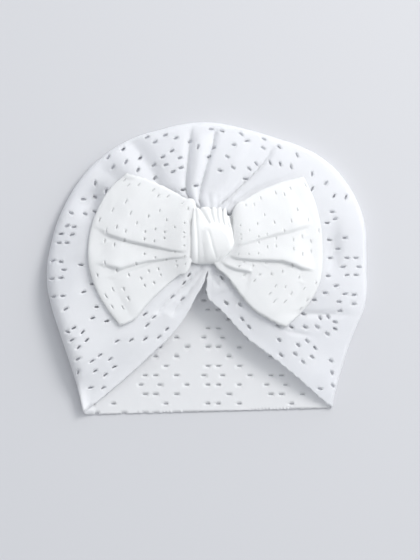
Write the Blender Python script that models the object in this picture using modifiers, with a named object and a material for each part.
"""A baby's bow turban hat of eyelet jersey, laid flat on its back.

Metres, +Z up. X runs across the hat, Y runs from its mouth up to its crown, and Z = 0 is the
surface it lies on. The hat is three pieces of one jersey: the cap, a single sheet folded over
at its outline and gathered on the front; the bow, a wide strip closed to a loop and pinched;
and the knot wrap, a short band round the bow's waist.

Each piece is drawn as a flat sheet with its eyelets in it, laid into shape by a function, and
given its wall by Solidify.
"""

import math

import bmesh
import bpy
import numpy as np
from mathutils import Vector
from mathutils.geometry import delaunay_2d_cdt

# Cloth and the clearance between pieces
WALL = 0.0012
HALF_WALL = WALL / 2
GAP = 0.0004

# Middle of the hat's box in the tables below, which goes to the origin
BOX_MIDDLE = (0.0002, 0.0012)

# The knot's middle, which the cap's pleats run to. Bearings are degrees round it, 0 at +X.
KNOT_X = 0.003
KNOT_Y = 0.019
FULL_TURN = 360.0

# The hat's outline: bearing round the knot, and reach from it. It runs from the lower right
# corner over the crown to the lower left corner; the rows before and after those corners
# carry each side on in a straight line.
OUTLINE = (
    (-64.0, 0.1560),
    (-59.0, 0.1430),
    (-54.5, 0.1305),
    (-49.0, 0.1205),
    (-43.0, 0.1135),
    (-37.5, 0.1090),
    (-32.0, 0.1066),
    (-25.5, 0.1055),
    (-20.0, 0.1035),
    (-12.5, 0.0995),
    (-4.0, 0.0973),
    (5.0, 0.0966),
    (12.5, 0.0948),
    (20.5, 0.0923),
    (29.5, 0.0889),
    (38.0, 0.0847),
    (46.5, 0.0799),
    (56.5, 0.0750),
    (67.5, 0.0723),
    (78.5, 0.0716),
    (90.0, 0.0726),
    (106.0, 0.0738),
    (116.0, 0.0752),
    (126.0, 0.0788),
    (141.0, 0.0845),
    (150.0, 0.0880),
    (159.0, 0.0911),
    (166.5, 0.0938),
    (175.0, 0.0974),
    (182.0, 0.1003),
    (189.0, 0.1040),
    (196.5, 0.1070),
    (204.0, 0.1090),
    (213.0, 0.1122),
    (222.5, 0.1190),
    (229.0, 0.1268),
    (233.5, 0.1350),
    (238.5, 0.1462),
    (243.0, 0.1580),
)
CORNER_RIGHT = -54.5
CORNER_LEFT = 233.5
FIRST_BEARING = -92.0

# The roll where the sheet folds over at the outline, which flattens towards the two corners
ROLL_DEPTH = 0.0035
ROLL_HALF_HEIGHT = 0.0032
CORNER_ROLL_SHARE = 0.28
CORNER_ROLL_SPAN = 28.0

# The front's heights, each at the middle of the wall
CROWN_PEAK = 0.0160
CROWN_FULLNESS = 2.4
GATHER_HEIGHT = 0.0110
GATHER_RADIUS = 0.0040
DIP_INNER = 0.0145
DIP_OUTER = 0.0310
FLAT_FRONT = HALF_WALL + WALL + 0.0005
FLAP_REACH = 0.030
CALM_EDGE = 0.012

# The free edges of the two flaps, from the top of the mouth down to each corner: x, y, height
LEFT_EDGE = (
    (0.0007, -0.0013, 0.0112),
    (-0.0023, -0.0103, 0.0088),
    (-0.0068, -0.0179, 0.0062),
    (-0.0113, -0.0269, 0.0040),
    (-0.0174, -0.0359, 0.0028),
    (-0.0398, -0.0586, 0.0024),
    (-0.0600, -0.0765, 0.0023),
)
RIGHT_EDGE = (
    (0.0007, -0.0013, 0.0112),
    (0.0010, -0.0179, 0.0122),
    (0.0097, -0.0266, 0.0122),
    (0.0248, -0.0429, 0.0116),
    (0.0429, -0.0567, 0.0098),
    (0.0611, -0.0718, 0.0062),
    (0.0700, -0.0800, 0.0040),
)

# Pleats of the front: bearing at the rim, bearing at the knot, depth (a ridge is below zero),
# half width at PLEAT_REACH from the knot, and where they start, as a share of the way in. A
# pleat narrows towards the knot and swings round to its second bearing as it goes in.
PLEAT_REACH = 0.055
PLEAT_NARROWEST = 0.30
PLEAT_WIDEST = 1.3
PLEAT_SWING = 1.4
PLEAT_RAMP = 0.16
PLEATS = (
    (127.0, 133.0, 0.0030, 0.0050, 0.02),
    (98.5, 121.0, 0.0030, 0.0024, 0.02),
    (92.5, 115.0, -0.0016, 0.0040, 0.05),
    (84.5, 110.0, 0.0034, 0.0024, 0.02),
    (55.0, 84.0, 0.0030, 0.0036, 0.02),
    (37.0, 52.0, 0.0018, 0.0040, 0.10),
    (16.0, 24.0, 0.0016, 0.0045, 0.30),
    (-14.0, -8.0, 0.0018, 0.0045, 0.30),
    (-32.0, -40.0, 0.0022, 0.0040, 0.30),
    (150.0, 156.0, 0.0020, 0.0050, 0.20),
    (178.0, 176.0, 0.0018, 0.0045, 0.30),
    (200.0, 205.0, 0.0020, 0.0050, 0.30),
    (222.0, 236.0, 0.0014, 0.0034, 0.35),
)

# Dents and soft creases of the front: middle x and y, half length, half width, turn, depth
DENTS = (
    (-0.072, 0.042, 0.0120, 0.0080, 60.0, 0.0016),
    (-0.076, -0.008, 0.0120, 0.0060, 80.0, 0.0014),
    (0.079, 0.011, 0.0140, 0.0050, 85.0, 0.0016),
    (0.073, -0.029, 0.0160, 0.0026, 0.0, 0.0012),
    (0.057, -0.041, 0.0100, 0.0022, -12.0, 0.0010),
)

# How finely the cap's two sheets are divided: rows round the roll, as shares of its quarter;
# rows of the front, as shares of the way out from the knot, with their step in degrees
FOLD_POINTS = 84
ROLL_ROWS = (0.45, 1.0)
FRONT_ROWS = (
    (0.91, 4.0),
    (0.85, 4.0),
    (0.78, 4.0),
    (0.70, 4.0),
    (0.62, 4.0),
    (0.53, 4.0),
    (0.44, 4.5),
    (0.35, 5.0),
    (0.26, 7.5),
    (0.17, 10.0),
    (0.10, 20.0),
)
MOUTH_STEP = 0.007
HEM_STEP = 0.012
GATHER_SIDES = 8
BACK_RING = 0.045
BACK_RING_SIDES = 12
FINE_STEPS = 1200
WELD = 1e-6

# The jersey's eyelets: their size, the pitch of its columns and rows, and one cell of the
# pattern, a flower of six eyelets and four singles. Every second column of flowers is a row low.
EYELET_LONG = 0.0031
EYELET_SHORT = 0.0016
COLUMN_PITCH = 0.0066
ROW_PITCH = 0.00595
CELL_COLUMNS = 6
CELL_ROWS = 4
FLOWER_X = 0.0041
FLOWER_Y = -0.0436
CELL = (
    (-0.5, 1.0),
    (0.5, 1.0),
    (-0.9, 0.0),
    (0.9, 0.0),
    (-0.5, -1.0),
    (0.5, -1.0),
    (2.5, 1.0),
    (1.5, 2.0),
    (3.5, 0.0),
    (2.5, -1.0),
)
EYELET_SIDES = 6
EYELET_SPACING = 0.0052
EYELET_CLEAR = 0.0017
CHART_HALF = 0.15

# Where the solids are pierced: a band of the front, and the back panel up to a line in the
# mouth. No eyelet comes nearer than this to the rim, a flap's edge, the hem or a corner.
PIERCED_BAND = 0.0205
PIERCED_BACK_TOP = -0.0262
RIM_MARGIN = 0.005
FLAP_MARGIN = 0.004
HEM_MARGIN = 0.003
CORNER_MARGIN = 6.0

# The knot wrap: a band round the X direction, its half axes at the middle of its wall. It
# lies in the dip of the cap's gather, and its front is fuller than its back.
WRAP_HALF_Y = 0.0160
WRAP_HALF_Z = 0.0072
WRAP_BULGE = 0.25
WRAP_HEIGHT = GATHER_HEIGHT + WALL + GAP + WRAP_HALF_Z
WRAP_LEFT = 0.0118
WRAP_RIGHT = 0.0124
WRAP_TAPER = 0.0035
WRAP_AROUND = 28
WRAP_ACROSS = 8

# The bow's waist inside the wrap, at the middle of its wall. Its two layers are pleated
# together, one pleat inside the other, and lie closest at the strip's two edges.
WAIST_HALF_Y = WRAP_HALF_Y - WALL - 2 * GAP
WAIST_BEYOND = 0.0015
WAIST_LEFT = KNOT_X - WRAP_LEFT - WAIST_BEYOND
WAIST_RIGHT = KNOT_X + WRAP_RIGHT + WAIST_BEYOND
WAIST_HALF_APART = 0.0019
WAIST_EDGE_APART = 0.0011
WAIST_PLEATS = 3.0
WAIST_PLEAT_HALF_DEPTH = 0.0028

# The outer fold of each wing: place across the strip (1 top, -1 bottom), x, y
LEFT_FOLD = (
    (1.0, -0.0492, 0.0598),
    (0.72, -0.0606, 0.0495),
    (0.42, -0.0690, 0.0345),
    (0.10, -0.0734, 0.0180),
    (-0.20, -0.0734, 0.0015),
    (-0.50, -0.0686, -0.0135),
    (-0.78, -0.0606, -0.0270),
    (-1.0, -0.0534, -0.0362),
)
RIGHT_FOLD = (
    (1.0, 0.0605, 0.0578),
    (0.72, 0.0668, 0.0440),
    (0.42, 0.0712, 0.0275),
    (0.10, 0.0726, 0.0110),
    (-0.20, 0.0716, -0.0040),
    (-0.50, 0.0672, -0.0165),
    (-0.78, 0.0588, -0.0278),
    (-1.0, 0.0484, -0.0372),
)
WING_SPREAD = 0.92
WING_ROLL_DEPTH = 0.0030
WING_ROLL_HALF_HEIGHT = 0.0024

# A wing's lower layer lies on the crown, and its upper one close above it
WING_CLEARANCE = WALL + 2 * GAP
WING_POCKET = 2 * WING_ROLL_HALF_HEIGHT - WALL
WING_CLOSEST = 0.0006
WING_EDGE_DROP = 0.45
WING_SETTLE = 0.36

# Folds of the wings, each a step down towards the mouth: wing, place across the strip at the
# waist and at the outer fold, height of the step, half width of the step. Below its step the
# cloth rises again over FOLD_RECOVER, and each step fades in and out along the wing.
FOLD_RECOVER = 0.7
FOLD_IN = 0.12
FOLD_OUT = 0.10
WING_FOLDS = (
    (-1, -0.20, 0.22, 0.0030, 0.060),
    (-1, -0.55, -0.18, 0.0026, 0.060),
    (1, -0.10, 0.38, 0.0026, 0.060),
    (1, -0.50, -0.16, 0.0034, 0.060),
    (1, 0.55, 0.74, 0.0016, 0.080),
)
WING_ROWS = 8
WING_ROW_SPACING = 0.8
WAIST_ROWS = 2
STRIP_ROWS = 18

# Colours and finish of the three cloths
CAP_COLOUR = (0.86, 0.88, 0.91)
BOW_COLOUR = (0.88, 0.90, 0.92)
WRAP_COLOUR = (0.90, 0.93, 0.94)
CLOTH_ROUGHNESS = 0.9


def clear_scene():
    """Removes the objects of a new file, so that the script can be run again."""
    for item in list(bpy.data.objects):
        bpy.data.objects.remove(item, do_unlink=True)


def smooth(value):
    """Eases from 0 to 1 while the value goes from 0 to 1."""
    share = np.clip(value, 0.0, 1.0)
    return share * share * (3.0 - 2.0 * share)


def spline(places, table, column):
    """Reads one column of a table along its first one, on a smooth curve through its rows."""
    keys = np.array([row[0] for row in table])
    values = np.array([row[column] for row in table])
    if keys[0] > keys[-1]:
        keys = keys[::-1]
        values = values[::-1]
    slopes = np.gradient(values, keys)
    span = np.clip(np.searchsorted(keys, places) - 1, 0, len(keys) - 2)
    width = keys[span + 1] - keys[span]
    share = np.clip((places - keys[span]) / width, 0.0, 1.0)
    square = share * share
    cube = square * share
    start = (2 * cube - 3 * square + 1) * values[span] + (cube - 2 * square + share) * width * slopes[span]
    end = (3 * square - 2 * cube) * values[span + 1] + (cube - square) * width * slopes[span + 1]
    return start + end


def polar(x, y):
    """Bearing round the knot, from the lowest one of the outline on, and reach from it."""
    bearing = np.degrees(np.arctan2(y - KNOT_Y, x - KNOT_X))
    bearing = np.where(bearing < -90.0, bearing + FULL_TURN, bearing)
    return bearing, np.hypot(x - KNOT_X, y - KNOT_Y)


def from_polar(bearing, reach):
    """The place at a bearing and reach from the knot."""
    turn = np.radians(bearing)
    return KNOT_X + reach * np.cos(turn), KNOT_Y + reach * np.sin(turn)


def outline_reach(bearing):
    """The outline's reach at a bearing, and the cosine between that ray and its normal."""
    step = 1.0
    reach = spline(bearing, OUTLINE, 1)
    ahead = spline(bearing + step, OUTLINE, 1)
    behind = spline(bearing - step, OUTLINE, 1)
    slope = (ahead - behind) / np.radians(2 * step)
    return reach, reach / np.hypot(reach, slope)


def roll_size(bearing):
    """Depth and half height of the roll at a bearing, and the length of its quarter."""
    from_corner = np.minimum(bearing - CORNER_RIGHT, CORNER_LEFT - bearing) / CORNER_ROLL_SPAN
    share = CORNER_ROLL_SHARE + (1.0 - CORNER_ROLL_SHARE) * smooth(from_corner)
    depth = ROLL_DEPTH * share
    height = ROLL_HALF_HEIGHT * share
    return depth, height, (depth + height) * math.pi / 4


def sheet_reach(bearing):
    """How far from the knot the flat sheet's fold line lies: the outline and what the roll takes."""
    reach, lean = outline_reach(bearing)
    depth, _, quarter = roll_size(bearing)
    return reach + (quarter - depth) / lean


def curve_distance(x, y, table):
    """Distance from places to an edge of x, y, height rows, and the height at its nearest point."""
    best = np.full(np.shape(x), np.inf)
    height = np.zeros(np.shape(x))
    for start, end in zip(table, table[1:]):
        ax, ay, az = start
        bx, by, bz = end
        run = ((x - ax) * (bx - ax) + (y - ay) * (by - ay)) / ((bx - ax) ** 2 + (by - ay) ** 2)
        run = np.clip(run, 0.0, 1.0)
        apart = np.hypot(x - ax - run * (bx - ax), y - ay - run * (by - ay))
        nearer = apart < best
        best = np.where(nearer, apart, best)
        height = np.where(nearer, az + run * (bz - az), height)
    return best, height


def free_edge(table, corner):
    """A flap's free edge with the outline's corner as its last row."""
    x, y = from_polar(corner, outline_reach(corner)[0])
    return (*table, (float(x), float(y), FLAT_FRONT))


def front_base(x, y):
    """Height of the front's middle surface inside the roll, without pleats and dents."""
    bearing, reach = polar(x, y)
    across, _ = outline_reach(bearing)
    _, roll_height, _ = roll_size(bearing)
    rim = HALF_WALL + 2 * roll_height
    inward = np.clip(1.0 - reach / across, 0.0, 1.0)
    height = rim + (CROWN_PEAK - rim) * (1.0 - (1.0 - inward) ** CROWN_FULLNESS)
    dip = 1.0 - smooth((reach - DIP_INNER) / (DIP_OUTER - DIP_INNER))
    height = height + (GATHER_HEIGHT - height) * dip
    left, left_height = curve_distance(x, y, free_edge(LEFT_EDGE, CORNER_LEFT))
    right, right_height = curve_distance(x, y, free_edge(RIGHT_EDGE, CORNER_RIGHT))
    on_left = bearing > 90.0
    near = np.where(on_left, left, right)
    edge_height = np.where(on_left, left_height, right_height)
    return edge_height + (height - edge_height) * smooth(near / FLAP_REACH)


def pleat_depth(x, y):
    """How far the pleats and dents press the front down at a place."""
    bearing, reach = polar(x, y)
    across, _ = outline_reach(bearing)
    inward = 1.0 - reach / across
    narrowing = np.clip(reach / PLEAT_REACH, PLEAT_NARROWEST, PLEAT_WIDEST)
    swing = np.clip(inward, 0.0, 1.0) ** PLEAT_SWING
    total = np.zeros(np.shape(x))
    for rim_bearing, knot_bearing, depth, half_width, start in PLEATS:
        line = rim_bearing + (knot_bearing - rim_bearing) * swing
        beside = reach * np.radians(bearing - line) / (half_width * narrowing)
        ramp = smooth((inward - start) / PLEAT_RAMP)
        total = total + depth * ramp * np.exp(-beside * beside)
    for middle_x, middle_y, half_length, half_width, turn, depth in DENTS:
        cosine = math.cos(math.radians(turn))
        sine = math.sin(math.radians(turn))
        along = ((x - middle_x) * cosine + (y - middle_y) * sine) / half_length
        beside = ((y - middle_y) * cosine - (x - middle_x) * sine) / half_width
        total = total + depth * np.exp(-along * along - beside * beside)
    near_edge = np.minimum(
        curve_distance(x, y, LEFT_EDGE)[0], curve_distance(x, y, RIGHT_EDGE)[0]
    )
    under_knot = smooth((reach - GATHER_RADIUS) / (DIP_INNER - GATHER_RADIUS))
    return total * smooth(near_edge / CALM_EDGE) * under_knot


def front_height(x, y):
    """Height of the front's middle surface inside the roll."""
    return np.maximum(front_base(x, y) - pleat_depth(x, y), FLAT_FRONT)


def cap_place(x, y, side):
    """Lays a place of the flat sheet into the cap: side 1 is its front and -1 its back."""
    bearing, reach = polar(x, y)
    across, lean = outline_reach(bearing)
    depth, roll_height, quarter = roll_size(bearing)
    inward = np.maximum(across + (quarter - depth) / lean - reach, 0.0) * lean
    turn = np.clip(inward / quarter, 0.0, 1.0) * math.pi / 2
    on_roll = inward < quarter
    rolled_reach = np.where(on_roll, across - depth * (1.0 - np.cos(turn)) / lean, reach)
    place_x, place_y = from_polar(bearing, rolled_reach)
    height = HALF_WALL + roll_height * (1.0 + side * np.sin(turn))
    if side > 0:
        rise = front_height(place_x, place_y) - (HALF_WALL + 2 * roll_height)
        height = height + rise * smooth(inward / quarter)
    return np.column_stack([place_x, place_y, height])


def eyelet_chart():
    """Middles of the eyelets of flat jersey, within a square about the origin."""
    middles = []
    columns = int(CHART_HALF / (CELL_COLUMNS * COLUMN_PITCH)) + 2
    rows = int(CHART_HALF / (CELL_ROWS * ROW_PITCH)) + 2
    for column in range(-columns, columns + 1):
        low = 1.0 if column % 2 else 0.0
        for row in range(-rows, rows + 1):
            for right, up in CELL:
                x = FLOWER_X + (column * CELL_COLUMNS + right) * COLUMN_PITCH
                y = FLOWER_Y + (row * CELL_ROWS + up - low) * ROW_PITCH
                if max(abs(x), abs(y)) < CHART_HALF:
                    middles.append((x, y))
    return middles


def back_eyelets():
    """Eyelets of the back panel that the mouth shows: x, y and turn in degrees."""
    hem_y = from_polar(CORNER_RIGHT, outline_reach(CORNER_RIGHT)[0])[1]
    kept = []
    for x, y in eyelet_chart():
        if hem_y + HEM_MARGIN < y < PIERCED_BACK_TOP and shown_by_mouth(x, y):
            kept.append((x, y, 0.0))
    return kept


def shown_by_mouth(x, y):
    """Whether a place of the back panel lies between the two flaps' free edges."""
    left = [row[:2] for row in free_edge(LEFT_EDGE, CORNER_LEFT)]
    right = [row[:2] for row in free_edge(RIGHT_EDGE, CORNER_RIGHT)]
    return inside(x, y, left + right[::-1])


def front_eyelets():
    """Eyelets of the front's outer band. The chart goes on past the outline and is folded over."""
    bearings = np.linspace(CORNER_RIGHT + CORNER_MARGIN, CORNER_LEFT - CORNER_MARGIN, FINE_STEPS)
    line_x, line_y = from_polar(bearings, outline_reach(bearings)[0])
    tangent = np.degrees(np.arctan2(np.gradient(line_y), np.gradient(line_x)))
    kept = []
    for x, y in eyelet_chart():
        bearing, reach = polar(x, y)
        if reach < outline_reach(bearing)[0]:
            continue
        apart = np.hypot(line_x - x, line_y - y)
        nearest = int(np.argmin(apart))
        if nearest in (0, len(bearings) - 1) or apart[nearest] > PIERCED_BAND:
            continue
        folded_x = 2 * line_x[nearest] - x
        folded_y = 2 * line_y[nearest] - y
        bearing, reach = polar(folded_x, folded_y)
        room = outline_reach(bearing)[0] - reach
        crowded = any(math.dist((folded_x, folded_y), other[:2]) < EYELET_SPACING for other in kept)
        if room < RIM_MARGIN or crowded or in_flap_margin(folded_x, folded_y):
            continue
        kept.append((float(folded_x), float(folded_y), 2 * tangent[nearest]))
    return kept


def in_flap_margin(x, y):
    """Whether a place is outside the front sheet or too near a flap's free edge for an eyelet."""
    left = curve_distance(x, y, free_edge(LEFT_EDGE, CORNER_LEFT))[0]
    right = curve_distance(x, y, free_edge(RIGHT_EDGE, CORNER_RIGHT))[0]
    return min(left, right) < FLAP_MARGIN or shown_by_mouth(x, y)


def eyelet_loop(x, y, turn):
    """The cut edge of one eyelet: points round an oval, at its two ends and along its flat sides."""
    angle = math.radians(turn)
    points = []
    half_across = EYELET_SHORT / 2 / math.cos(math.pi / EYELET_SIDES)
    for step in range(EYELET_SIDES):
        around = 2 * math.pi * step / EYELET_SIDES
        along = EYELET_LONG / 2 * math.cos(around)
        across = half_across * math.sin(around)
        points.append(
            (
                x + along * math.cos(angle) - across * math.sin(angle),
                y + along * math.sin(angle) + across * math.cos(angle),
            )
        )
    return points


def inside(x, y, ring):
    """Whether a place is inside a closed ring of points."""
    odd = False
    for (ax, ay), (bx, by) in zip(ring, ring[1:] + ring[:1]):
        if (ay > y) != (by > y) and x < ax + (y - ay) / (by - ay) * (bx - ax):
            odd = not odd
    return odd


def pierced_sheet(edge, cuts, fill):
    """Triangles of a flat sheet inside an edge ring, left out inside each cut ring."""
    points = [Vector(point) for point in edge]
    links = [(index, (index + 1) % len(edge)) for index in range(len(edge))]
    for ring in cuts:
        first = len(points)
        points += [Vector(point) for point in ring]
        links += [(first + index, first + (index + 1) % len(ring)) for index in range(len(ring))]
    middles = np.array([np.mean(ring, axis=0) for ring in cuts]).reshape(-1, 2)
    reaches = np.array([max(math.dist(point, np.mean(ring, axis=0)) for point in ring) for ring in cuts])
    for x, y in fill:
        away = np.hypot(middles[:, 0] - x, middles[:, 1] - y) - reaches
        if inside(x, y, edge) and (not len(away) or away.min() > EYELET_CLEAR):
            points.append(Vector((x, y)))
    flat, _, faces, *_ = delaunay_2d_cdt(points, links, [], 0, WELD / 10)
    kept = []
    for face in faces:
        x = sum(flat[corner].x for corner in face) / 3
        y = sum(flat[corner].y for corner in face) / 3
        near = np.hypot(middles[:, 0] - x, middles[:, 1] - y) < reaches
        in_cut = any(inside(x, y, cuts[index]) for index in np.flatnonzero(near))
        if inside(x, y, edge) and not in_cut:
            kept.append(tuple(face))
    return [(point.x, point.y) for point in flat], kept


def cloth_material(name, colour):
    """Matt white jersey."""
    material = bpy.data.materials.new(name)
    material.use_nodes = True
    shader = material.node_tree.nodes["Principled BSDF"]
    shader.inputs["Base Color"].default_value = (*colour, 1.0)
    shader.inputs["Roughness"].default_value = CLOTH_ROUGHNESS
    shader.inputs["Metallic"].default_value = 0.0
    return material


def add_cloth(name, collection, sheets, colour):
    """Makes one object of mapped sheets: welds where they meet, and adds the wall."""
    made = bmesh.new()
    for places, faces in sheets:
        corners = [made.verts.new(place) for place in places]
        for face in faces:
            made.faces.new([corners[index] for index in face])
    bmesh.ops.remove_doubles(made, verts=made.verts, dist=WELD)
    loose = [corner for corner in made.verts if not corner.link_faces]
    bmesh.ops.delete(made, geom=loose, context="VERTS")
    bmesh.ops.recalc_face_normals(made, faces=made.faces)
    mesh = bpy.data.meshes.new(name)
    made.to_mesh(mesh)
    made.free()
    mesh.shade_smooth()
    piece = bpy.data.objects.new(name, mesh)
    collection.objects.link(piece)
    piece.location = (-BOX_MIDDLE[0], -BOX_MIDDLE[1], 0.0)
    piece.data.materials.append(cloth_material(name + "_cloth", colour))
    wall = piece.modifiers.new("Wall", "SOLIDIFY")
    wall.thickness = WALL
    wall.offset = 0.0
    return piece


def edge_points(table, step):
    """A free edge's x and y rows, with points added so that none are further apart than a step."""
    points = []
    for start, end in zip(table, table[1:]):
        count = max(1, round(math.dist(start[:2], end[:2]) / step))
        for index in range(count):
            share = index / count
            points.append((start[0] + share * (end[0] - start[0]), start[1] + share * (end[1] - start[1])))
    return points


def as_points(bearings, reaches):
    """Places at bearings and reaches from the knot, as a list of x and y pairs."""
    x, y = from_polar(np.asarray(bearings), np.asarray(reaches))
    return list(zip(x.tolist(), y.tolist()))


def ring_points(sides, reach):
    """Places evenly round the knot, at one reach from it."""
    return as_points(np.arange(sides) * FULL_TURN / sides, np.full(sides, reach))


def fold_bearings(count):
    """Bearings of points that lie evenly along the outline, corner to corner."""
    fine = np.linspace(CORNER_RIGHT, CORNER_LEFT, FINE_STEPS)
    x, y = from_polar(fine, outline_reach(fine)[0])
    length = np.concatenate([[0.0], np.cumsum(np.hypot(np.diff(x), np.diff(y)))])
    return np.interp(np.linspace(0.0, length[-1], count), length, fine)


def roll_points(bearings):
    """Places of the flat sheet along the roll, halfway round its quarter and at its end."""
    _, lean = outline_reach(bearings)
    _, _, quarter = roll_size(bearings)
    points = []
    for share in ROLL_ROWS:
        points += as_points(bearings, sheet_reach(bearings) - share * quarter / lean)
    return points


def make_cap(collection):
    """The cap: back and front sheets that meet along the fold line at the hat's outline."""
    bearings = fold_bearings(FOLD_POINTS)
    fold = as_points(bearings, sheet_reach(bearings))

    left = (*LEFT_EDGE, (*fold[-1], 0.0))
    right = (*RIGHT_EDGE, (*fold[0], 0.0))
    mouth = edge_points(left, MOUTH_STEP)[::-1] + edge_points(right, MOUTH_STEP)[1:]
    front_edge = fold + mouth
    fill = roll_points(bearings[1:-1])
    for share, step in FRONT_ROWS:
        around = np.arange(FIRST_BEARING, FIRST_BEARING + FULL_TURN, step)
        reaches = share * sheet_reach(np.clip(around, CORNER_RIGHT, CORNER_LEFT))
        fill += as_points(around, reaches)
    cuts = [eyelet_loop(*eyelet) for eyelet in front_eyelets()]
    print("eyelets of the front:", len(cuts))
    flat, faces = pierced_sheet(front_edge, [ring_points(GATHER_SIDES, GATHER_RADIUS), *cuts], fill)
    places = np.array(flat)
    front = (cap_place(places[:, 0], places[:, 1], 1.0), faces)

    fill = roll_points(bearings[1:-1]) + ring_points(BACK_RING_SIDES, BACK_RING)
    hem = edge_points([(*fold[-1], 0.0), (*fold[0], 0.0)], HEM_STEP)[1:]
    cuts = [eyelet_loop(*eyelet) for eyelet in back_eyelets()]
    print("eyelets of the back:", len(cuts))
    flat, faces = pierced_sheet(fold + hem, cuts, fill)
    places = np.array(flat)
    back = (cap_place(places[:, 0], places[:, 1], -1.0), faces)
    return add_cloth("turban_cap", collection, [front, back], CAP_COLOUR)


def wing_plan(across, along, wing):
    """Plan place in a wing: across the strip from -1 to 1, and from the waist, 0, to the fold, 1."""
    table = LEFT_FOLD if wing < 0 else RIGHT_FOLD
    start_x = WAIST_LEFT if wing < 0 else WAIST_RIGHT
    start_y = KNOT_Y + WAIST_HALF_Y * across
    end_x = spline(across, table, 1)
    end_y = spline(across, table, 2)
    x = start_x + (end_x - start_x) * along
    y = start_y + (end_y - start_y) * along ** WING_SPREAD
    return x, y


def waist_height(across, layer):
    """Height of one layer of the pinched waist: layer 1 is the upper one and -1 the lower one."""
    arch = np.sqrt(np.clip(1.0 - across * across, 0.0, 1.0))
    pleats = WAIST_PLEAT_HALF_DEPTH * np.cos(across * math.pi * WAIST_PLEATS) * arch
    half_apart = WAIST_EDGE_APART + (WAIST_HALF_APART - WAIST_EDGE_APART) * arch
    return WRAP_HEIGHT + pleats + layer * half_apart


def wing_step(across, along, wing):
    """How far the folds of a wing lower its upper layer at a place."""
    total = np.zeros(np.shape(across))
    for owner, at_waist, at_fold, drop, half_width in WING_FOLDS:
        if owner == wing:
            line = at_waist + (at_fold - at_waist) * along
            below = smooth((line - across) / (2 * half_width) + 0.5)
            recover = 1.0 - smooth((line - across) / FOLD_RECOVER)
            total = total + drop * below * recover
    return total * smooth(along / FOLD_IN) * smooth((1.0 - along) / FOLD_OUT)


def wing_heights(across, along, wing):
    """Heights of a wing's lower and upper layer at a place, inside its outer roll."""
    x, y = wing_plan(across, along, wing)
    settled = smooth(along / WING_SETTLE)
    crown = front_base(x, y) + WING_CLEARANCE
    lower = waist_height(across, -1.0)
    lower = np.maximum(lower * (1.0 - settled) + crown * settled, crown)
    waist_pocket = waist_height(across, 1.0) - waist_height(across, -1.0) - WALL
    wing_pocket = WING_POCKET * (1.0 - WING_EDGE_DROP * across * across)
    pocket = waist_pocket * (1.0 - settled) + wing_pocket * settled
    pocket = np.maximum(pocket - wing_step(across, along, wing), WING_CLOSEST)
    return lower, lower + WALL + pocket


def wing_place(across, along, wing, layer):
    """Place of one layer of a wing. The last stretch of each layer goes round the outer roll."""
    quarter = (WING_ROLL_DEPTH + WING_ROLL_HALF_HEIGHT) * math.pi / 4
    start_x, start_y = wing_plan(across, np.zeros(np.shape(across)), wing)
    end_x, end_y = wing_plan(across, np.ones(np.shape(across)), wing)
    length = np.hypot(end_x - start_x, end_y - start_y)
    left = (1.0 - along) * (length + quarter - WING_ROLL_DEPTH)
    turn = np.clip(left / quarter, 0.0, 1.0) * math.pi / 2
    on_roll = left < quarter
    plan = np.where(
        on_roll,
        1.0 - WING_ROLL_DEPTH * (1.0 - np.cos(turn)) / length,
        np.clip(1.0 - (left - quarter + WING_ROLL_DEPTH) / length, 0.0, 1.0),
    )
    x, y = wing_plan(across, plan, wing)
    lower, upper = wing_heights(across, plan, wing)
    middle = (lower + upper) / 2
    half = (upper - lower) / 2
    return np.column_stack([x, y, middle + layer * half * np.sin(turn)])


def waist_place(across, share, layer):
    """Place of one layer in the waist: share runs from its left end, 0, to its right end, 1."""
    x = WAIST_LEFT + (WAIST_RIGHT - WAIST_LEFT) * share
    y = KNOT_Y + WAIST_HALF_Y * across
    return np.column_stack([x, y, waist_height(across, layer)])


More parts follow.
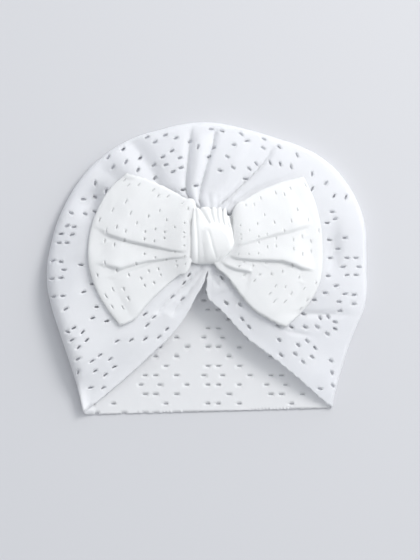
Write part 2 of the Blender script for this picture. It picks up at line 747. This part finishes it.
def loop_rows():
    """Rows round the bow's loop: a function for each that lays a line across the strip."""
    outward = np.linspace(0.0, 1.0, WING_ROWS + 1) ** WING_ROW_SPACING
    waist = np.linspace(0.0, 1.0, WAIST_ROWS + 1)[1:-1]
    rows = [lambda across, share=share: waist_place(across, np.full(across.shape, share), 1.0)
            for share in waist[::-1]]
    for wing, layers in ((-1, (1.0, -1.0)), (1, (-1.0, 1.0))):
        for layer, going_out in zip(layers, (True, False)):
            steps = outward[:-1] if going_out else outward[:0:-1]
            rows += [
                lambda across, step=step, wing=wing, layer=layer: wing_place(
                    across, np.full(across.shape, step), wing, layer
                )
                for step in steps
            ]
            if not going_out:
                rows.append(
                    lambda across, wing=wing, layer=layer: wing_place(
                        across, np.zeros(across.shape), wing, layer
                    )
                )
        if wing < 0:
            rows += [lambda across, share=share: waist_place(across, np.full(across.shape, share), -1.0)
                     for share in waist]
    return rows


def closed_grid(lines):
    """Sheet of faces between lines of places, with the last line joined to the first."""
    count = len(lines[0])
    faces = []
    for row in range(len(lines)):
        after = (row + 1) % len(lines)
        for column in range(count - 1):
            faces.append(
                (
                    row * count + column,
                    row * count + column + 1,
                    after * count + column + 1,
                    after * count + column,
                )
            )
    return np.concatenate(lines), faces


def make_bow(collection):
    """The bow: one strip closed to a loop through both wings and the waist."""
    across = np.linspace(-1.0, 1.0, STRIP_ROWS + 1)
    lines = [row(across) for row in loop_rows()]
    return add_cloth("bow", collection, [closed_grid(lines)], BOW_COLOUR)


def make_wrap(collection):
    """The knot wrap: a band round the bow's waist, fullest at the middle of its front."""
    share = np.linspace(-1.0, 1.0, WRAP_ACROSS + 1)
    lines = []
    for turn in np.arange(WRAP_AROUND) * 2 * math.pi / WRAP_AROUND:
        front = max(math.sin(turn), 0.0)
        left = WRAP_LEFT - WRAP_TAPER * (1.0 - front)
        right = WRAP_RIGHT - WRAP_TAPER * (1.0 - front)
        x = KNOT_X + np.where(share < 0.0, share * left, share * right)
        bulge = 1.0 + WRAP_BULGE * front * (1.0 - share * share)
        y = KNOT_Y + WRAP_HALF_Y * math.cos(turn) * np.ones(share.shape)
        z = WRAP_HEIGHT + WRAP_HALF_Z * math.sin(turn) * bulge
        lines.append(np.column_stack([x, y, z]))
    return add_cloth("knot_wrap", collection, [closed_grid(lines)], WRAP_COLOUR)


def main():
    clear_scene()
    collection = bpy.data.collections.new("turban_hat")
    bpy.context.scene.collection.children.link(collection)
    make_cap(collection)
    make_bow(collection)
    make_wrap(collection)


main()
